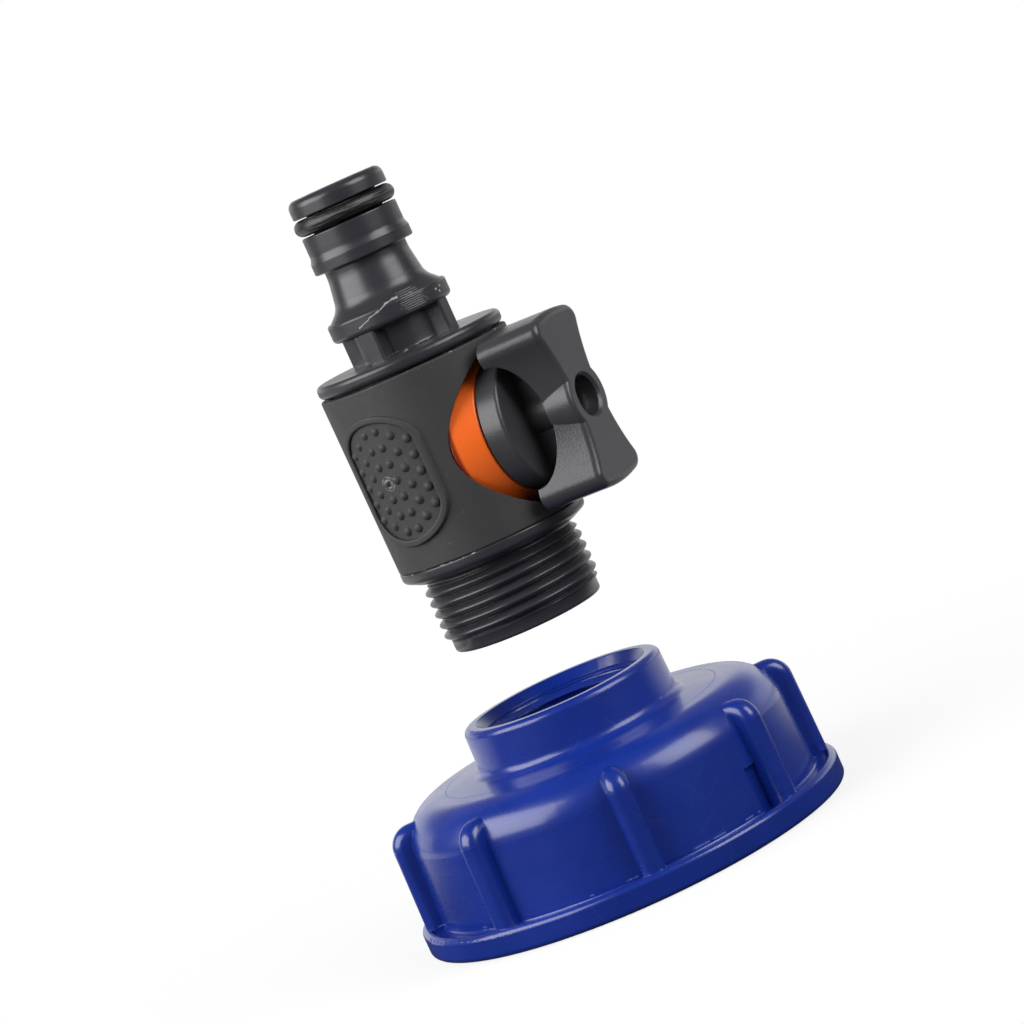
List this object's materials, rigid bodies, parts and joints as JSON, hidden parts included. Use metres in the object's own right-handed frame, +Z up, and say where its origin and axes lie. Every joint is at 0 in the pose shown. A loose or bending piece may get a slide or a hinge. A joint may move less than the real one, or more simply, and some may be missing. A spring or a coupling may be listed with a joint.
{
  "type": "ibc tap adapter",
  "caption": "Inline ball-valve tap with quick-connect hose spigot and pipe thread, lifted off the ribbed screw cap that joins it to a container outlet.",
  "frame": {"origin": "on the pipe axis in the plane of the cap's bottom rim, where the cap stands", "axes": "+Z up along the pipe axis, from the cap to the hose spigot; -Y out along the lever's stem; +X completes the right-handed frame"},
  "size_m": [0.0716, 0.0716, 0.1173],
  "materials": {
    "cap_blue": "glossy blue polypropylene",
    "body_charcoal": "satin charcoal plastic",
    "sleeve_matte": "matte charcoal soft-touch plastic",
    "lever_charcoal": "satin charcoal plastic",
    "bonnet_orange": "semi-gloss orange plastic",
    "seal_rubber": "black nitrile rubber",
    "seat_white": "white low-friction plastic",
    "stem_plastic": "off-white acetal",
    "screw_steel": "zinc-plated steel"
  },
  "bodies": {
    "cap": {"ibc_cap": "cap_blue", "cap_gasket": "seal_rubber", "hub_washer": "seal_rubber"},
    "tap": {"valve_body": "body_charcoal", "grip_sleeve": "sleeve_matte", "spigot_connector": "body_charcoal", "spigot_o_ring": "seal_rubber", "connector_o_ring": "seal_rubber", "bonnet": "bonnet_orange", "bonnet_o_ring": "seal_rubber", "seat_lower": "seat_white", "seat_upper": "seat_white", "seat_o_ring_lower": "seal_rubber", "seat_o_ring_upper": "seal_rubber"},
    "handle": {"lever": "lever_charcoal", "lever_screw": "screw_steel", "stem": "stem_plastic", "stem_washer": "seat_white", "stem_o_ring_inner": "seal_rubber", "stem_o_ring_outer": "seal_rubber", "ball": "stem_plastic"}
  },
  "joints": [
    {"name": "tap_lift", "type": "slide", "parent": "cap", "child": "tap", "axis": [0, 0, 1], "range_m": [-0.0239, 0]},
    {"name": "lever_turn", "type": "hinge", "parent": "tap", "child": "handle", "pos_m": [0, 0, 0.0721], "axis": [0, -1, 0], "range_deg": [0, 90]}
  ]
}
